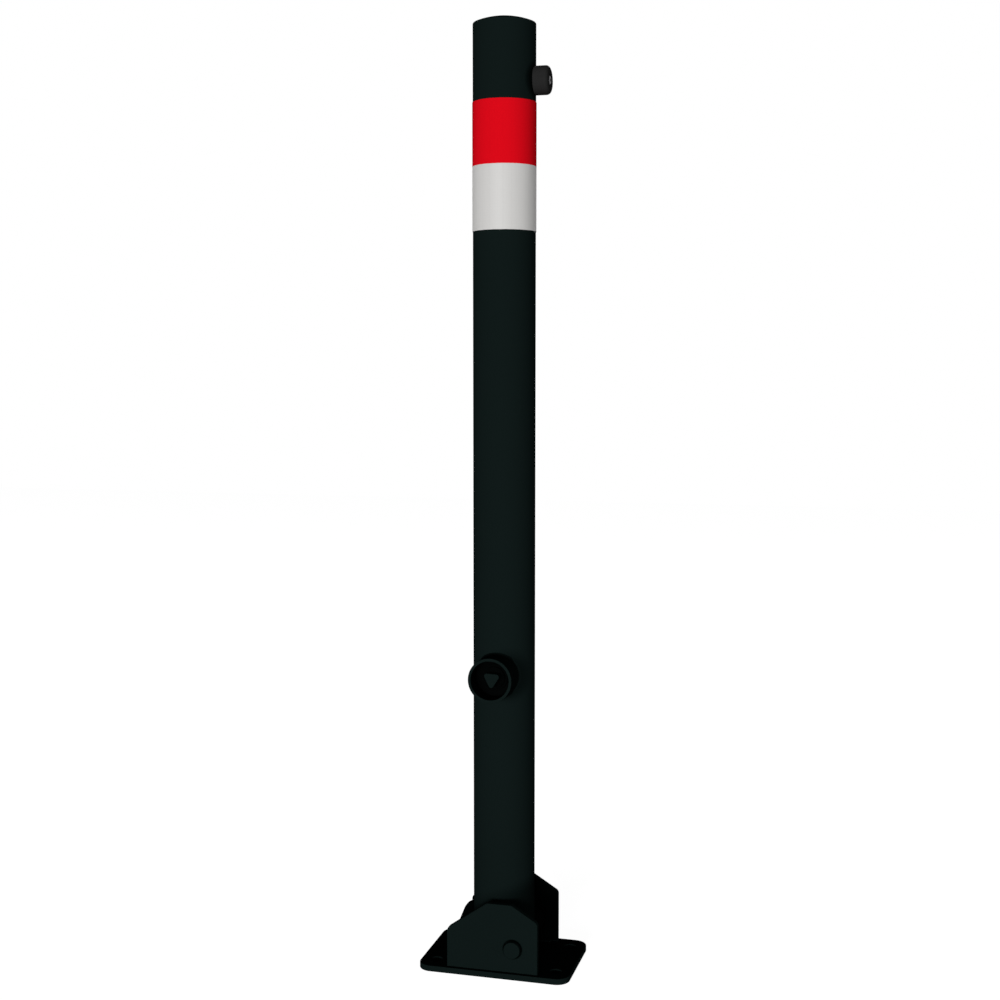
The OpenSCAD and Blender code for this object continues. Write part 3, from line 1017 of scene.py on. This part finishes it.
        # The turned shaft, shoulder and square tail take the near-black steel as painted shade; the
        # triangular stud keeps the plain black.
        for face in list(form.mesh.faces)[turned:]:
            face.material_index = 1
        reach = self.square / math.sqrt(2)
        tail = [(reach * s, self.height + reach * c, 0.3) for s, c in ((1, 0), (0, 1), (-1, 0), (0, -1))]
        hole = circle(0, self.height, self.screw_r, 32)
        root = self.shaft_in + self.square_sunk
        form.slab(Along.KEY_SIDE, rounded(tail, 3), self.square_in, root, 0.1, [hole])
        stud = form.piece("key_stud", SHADE_BLACK_STEEL, Body.KEY, "lock_spindle")
        stud.data.materials.append(STUD_FACE.material())


@dataclass(frozen=True)
class Buffer:
    """The rubber buffer near the top and the screw that holds it."""

    height: float = BUFFER_Z
    back: float = POST_R
    back_edge: float = 0.8
    radius: float = 13.5
    face: float = 44.6
    edge: float = 4.0
    seat_r: float = 5.1
    seat: float = 40.0
    bore: float = 2.6
    nut_r: float = 5.6
    nut_top: float = 31.0
    head_r: float = 4.2
    head: tuple[float, float] = (41.0, 44.5)
    head_edge: float = 1.5
    socket: float = 2.0
    socket_rim: float = 0.5
    socket_flare: float = 1.06
    socket_lip: float = 0.12
    socket_floor: float = 42.5
    socket_point: float = 0.5
    shank_r: float = 2.5
    shank_in: float = 18.0

    def build(self) -> None:
        """Builds the buffer and its screw."""
        skin = rounded([
            (self.radius, self.back, self.back_edge), (self.radius, self.face, self.edge),
            (self.seat_r, self.face, 0.5), (self.seat_r, self.seat, 0.3), (self.bore, self.seat, 0),
            (self.bore, self.nut_top, 0), (self.nut_r, self.nut_top, 0), (self.nut_r, self.back, 0.2),
        ], 6)  # fmt: skip
        form = Form().lathe(Along.FOLD_SIDE, (0, self.height), skin, FINE_STEPS, closed=True)
        form.piece("ground_buffer", RUBBER, Body.POST, "buffer")
        self.screw()

    def screw(self) -> None:
        """A socket screw, its hexagon sunk in the head."""
        steps = HOLE_STEPS
        low, high = self.head
        outside = rounded([
            (0, self.shank_in, 0), (self.shank_r, self.shank_in, 0.4), (self.shank_r, low, 0),
            (self.head_r, low, 0.2), (self.head_r, high, self.head_edge),
            (self.socket + self.socket_rim, high, 0),
        ], 4)  # fmt: skip
        rings = []
        for radius, t in outside:
            spots = circle(0, self.height, radius, steps) if radius > TINY else [(0, self.height)]
            rings.append([Along.FOLD_SIDE.at(u, v, t) for u, v in spots])
        levels = ((high, self.socket_flare), (high - self.socket_lip, 1.0), (self.socket_floor, 1.0))
        for t, share in levels:
            ring = []
            for i in range(steps):
                angle = math.tau * i / steps
                flat = math.cos((angle % (math.pi / 3)) - math.pi / 6)
                radius = self.socket * share * math.cos(math.pi / 6) / flat
                spot = (radius * math.cos(angle), self.height + radius * math.sin(angle))
                ring.append(Along.FOLD_SIDE.at(*spot, t))
            rings.append(ring)
        rings.append([Along.FOLD_SIDE.at(0, self.height, self.socket_floor - self.socket_point)])
        form = Form().sweep(rings)
        form.piece("socket_screw", SCREW_STEEL, Body.POST, "buffer_screw")


@dataclass(frozen=True)
class Bands:
    """The two film wraps, each with its overlap at the back of the post."""

    radius: float = POST_R
    film: float = 0.45
    edge: float = 0.08
    white: tuple[float, float] = (713.8, 774.6)
    red: tuple[float, float] = (774.6, 834.2)
    seam: float = 96.0
    overlap: float = 14.0
    ramp: float = 1.5
    steps: int = 200

    def build(self) -> None:
        """Builds both wraps."""
        self.wrap("white_wrap", WHITE_FILM, "white_band", *self.white)
        self.wrap("red_wrap", RED_FILM, "red_band", *self.red)

    def wrap(self, name: str, finish: Finish, node: str, low: float, high: float) -> None:
        """Winds one film round the tube and over its own start."""
        rings = []
        total = 360 + self.overlap
        for i in range(self.steps + 1):
            turned = total * i / self.steps
            lap = min(max((turned - 360 + self.ramp) / self.ramp, 0.0), 1.0)
            inner = self.radius + lap * self.film
            outer = inner + self.film
            angle = math.radians(self.seam + turned)
            across, ahead = math.cos(angle), math.sin(angle)
            section = [(inner, low), (outer - self.edge, low), (outer, low + self.edge)]
            section += [(outer, high - self.edge), (outer - self.edge, high), (inner, high)]
            rings.append([Vector((r * across, r * ahead, z)) for r, z in section])
        Form().sweep(rings).piece(name, finish, Body.POST, node)


@dataclass(frozen=True)
class Works:
    """The rest of the lock and the fixings, which keep their CAD shapes."""

    zinc: tuple[str, ...] = (
        "bush_nut", "buffer_washer", "buffer_nut", "spindle_ring", "crank_screw",
        "locking_rod", "yoke_pin", "collar_pin",
    )  # fmt: skip
    steel: tuple[str, ...] = (
        "lower_guide", "upper_guide", "crank_disc", "crank_pin", "yoke", "rod_collar", "locking_spring",
    )  # fmt: skip

    def dress(self) -> None:
        """Gives each node its finish."""
        dress(ZINC, *self.zinc)
        dress(BARE_STEEL, *self.steel)


# Studio


@dataclass(frozen=True)
class Lamp:
    """A wide soft lamp that faces the post.

    Its level is what a white surface that faces it would send back, with 1 for
    white. Azimuth 0 is the key side and 90 the fold side.
    """

    name: str
    azimuth: float
    elevation: float
    level: float
    width: float
    height: float
    distance: float = 10.0
    aim: float = 0.45

    def hang(self) -> None:
        """Hangs the lamp in the scene."""
        turn, rise = math.radians(self.azimuth), math.radians(self.elevation)
        flat = math.cos(rise)
        back = Vector((math.sin(turn) * flat, -math.cos(turn) * flat, math.sin(rise)))
        data = bpy.data.lights.new(self.name, "AREA")
        data.shape = "RECTANGLE"
        data.size, data.size_y = self.width, self.height
        data.energy = self.level * (math.pi * self.distance) ** 2
        lamp = bpy.data.objects.new(self.name, data)
        lamp.location = Vector((0, 0, self.aim)) + back * self.distance
        lamp.rotation_euler = (-back).to_track_quat("-Z", "Y").to_euler()
        bpy.context.scene.collection.objects.link(lamp)


@dataclass(frozen=True)
class Studio:
    """The camera, the lamps, and the white floor and surroundings."""

    eye: Colour = (0.37020, -1.38716, 0.58566)
    turned: float = 15.11
    tilted: float = 5.096
    lens: float = 53.63
    sensor: float = 36
    clip: tuple[float, float] = (0.05, 100)
    lamps: tuple[Lamp, ...] = (
        Lamp("front_lamp", azimuth=-4, elevation=1.5, level=0.98, width=6.0, height=1.8),
        Lamp("right_lamp", azimuth=80, elevation=2, level=0.20, width=5.0, height=1.8),
        Lamp("left_lamp", azimuth=-85, elevation=2, level=0.05, width=5.0, height=1.8),
    )
    ambient: float = 0.04
    floor_half: float = 5.0
    floor_sunk: float = 0.1
    floor_colour: Colour = (0.8, 0.8, 0.8)
    floor_glow: float = 0.94

    def build(self) -> None:
        """Sets the studio up."""
        self.camera()
        for lamp in self.lamps:
            lamp.hang()
        self.surroundings()
        self.floor()
        bpy.context.scene.view_settings.view_transform = "Standard"

    def camera(self) -> None:
        """The camera that took the view."""
        data = bpy.data.cameras.new("camera")
        data.sensor_width, data.lens = self.sensor, self.lens
        data.clip_start, data.clip_end = self.clip
        camera = bpy.data.objects.new("camera", data)
        turn, tilt = math.radians(self.turned), math.radians(self.tilted)
        ahead = Vector((-math.sin(turn) * math.cos(tilt), math.cos(turn) * math.cos(tilt), -math.sin(tilt)))
        camera.location = self.eye
        camera.rotation_euler = ahead.to_track_quat("-Z", "Y").to_euler()
        bpy.context.scene.collection.objects.link(camera)
        bpy.context.scene.camera = camera

    def seen(self, graph: Graph) -> Value:
        """1 for what is seen directly, in gloss or through glass, and 0 for light."""
        path = graph.add("ShaderNodeLightPath", {}, {})
        camera, gloss, glass = (
            Value(graph, path.outputs[f"Is {kind} Ray"]) for kind in ("Camera", "Glossy", "Transmission")
        )
        return camera | gloss | glass

    def surroundings(self) -> None:
        """A white world that lights the object only a little."""
        world = bpy.data.worlds.new("surroundings")
        world.use_nodes = True
        bpy.context.scene.world = world
        graph = Graph(world.node_tree)
        seen = self.seen(graph)
        strength = seen + (1 - seen) * self.ambient
        shader = graph.add("ShaderNodeBackground", {}, {"Color": (1.0, 1.0, 1.0), "Strength": strength})
        graph.surface(shader, "ShaderNodeOutputWorld")

    def floor(self) -> None:
        """A white floor that keeps the object's shadow."""
        form = Form()
        half, low = self.floor_half / MM, -self.floor_sunk
        corners = [(-half, -half), (half, -half), (half, half), (-half, half)]
        form.mesh.faces.new(form.ring([Vector((x, y, low)) for x, y in corners]))
        bmesh.ops.scale(form.mesh, vec=(MM, MM, MM), verts=form.mesh.verts)
        data = bpy.data.meshes.new("floor")
        form.mesh.to_mesh(data)
        form.mesh.free()
        floor = bpy.data.objects.new("floor", data)
        bpy.context.scene.collection.objects.link(floor)
        material = bpy.data.materials.new("white_floor")
        material.use_nodes = True
        graph = Graph(material.node_tree)
        matt = graph.add("ShaderNodeBsdfDiffuse", {}, {"Color": self.floor_colour})
        strength = self.seen(graph) * self.floor_glow
        glow = graph.add("ShaderNodeEmission", {}, {"Color": (1.0, 1.0, 1.0), "Strength": strength})
        graph.surface(graph.add("ShaderNodeAddShader", {}, {0: matt.outputs[0], 1: glow.outputs[0]}))
        data.materials.append(material)


def main() -> None:
    """Builds the object round the frame, and the studio."""
    logging.basicConfig(level=logging.INFO, format="%(name)s: %(message)s")
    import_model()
    Studio().build()
    for part in (Foot(), Hinge(), Post(), Lock(), Buffer(), Bands()):
        part.build()
    Works().dress()


if __name__ == "__main__":
    main()
